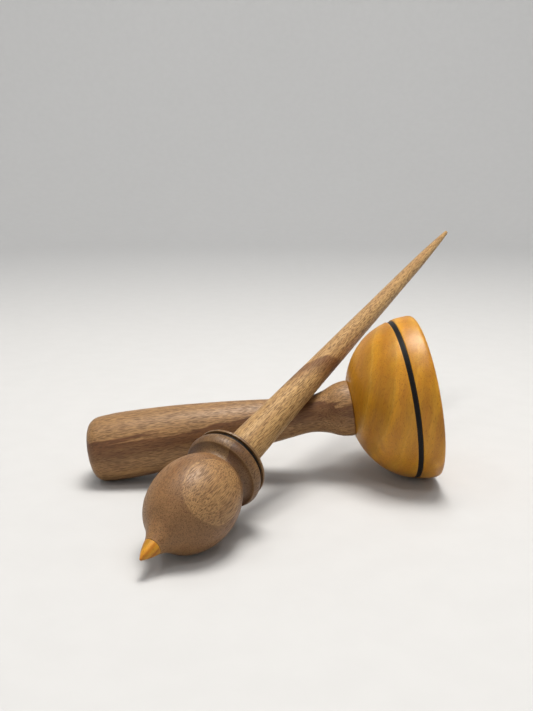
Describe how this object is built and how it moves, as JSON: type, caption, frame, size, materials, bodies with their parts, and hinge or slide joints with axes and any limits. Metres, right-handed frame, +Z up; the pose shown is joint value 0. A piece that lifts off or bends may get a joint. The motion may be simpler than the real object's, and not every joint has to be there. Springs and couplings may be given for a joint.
{
  "type": "supported spindle and lap bowl",
  "caption": "Supported hand spindle with a turned bulb whorl, pointed foot and long tapered shaft, leaning across the handle of its round lap bowl.",
  "frame": {"origin": "on the surface that both objects lie on, under the middle of their common bounding box", "axes": "+Z up; the lap bowl lies near +X with its cup facing +X and its handle pointing towards -X; the spindle's point is near -Y and its shaft rises towards +Y and +X"},
  "size_m": [0.1818, 0.2474, 0.0964],
  "materials": {
    "amber_bowl": "satin oil and wax",
    "amber_point": "satin oil",
    "black_ring": "satin",
    "black_line": "satin",
    "walnut_handle": "satin oil and wax",
    "walnut_bulb": "satin oil and wax",
    "walnut_collar": "satin oil and wax",
    "walnut_shaft": "satin oil and wax"
  },
  "bodies": {
    "lap_bowl": {"support_bowl": "amber_bowl", "bowl_ring": "black_ring", "bowl_handle": "walnut_handle"},
    "point": {"spindle_tip": "amber_point"},
    "spindle": {"whorl_bulb": "walnut_bulb", "whorl_collar": "walnut_collar", "whorl_ring": "black_line", "spindle_shaft": "walnut_shaft"}
  },
  "joints": [
    {"name": "spindle_lift", "type": "slide", "parent": "lap_bowl", "child": "point", "axis": [0, 0, 1], "range_m": [0, 0.08]},
    {"name": "spindle_spin", "type": "hinge", "parent": "point", "child": "spindle", "pos_m": [-0.05509, -0.12354, 0.00719], "axis": [0.485, 0.8233, 0.2949], "continuous": true}
  ]
}
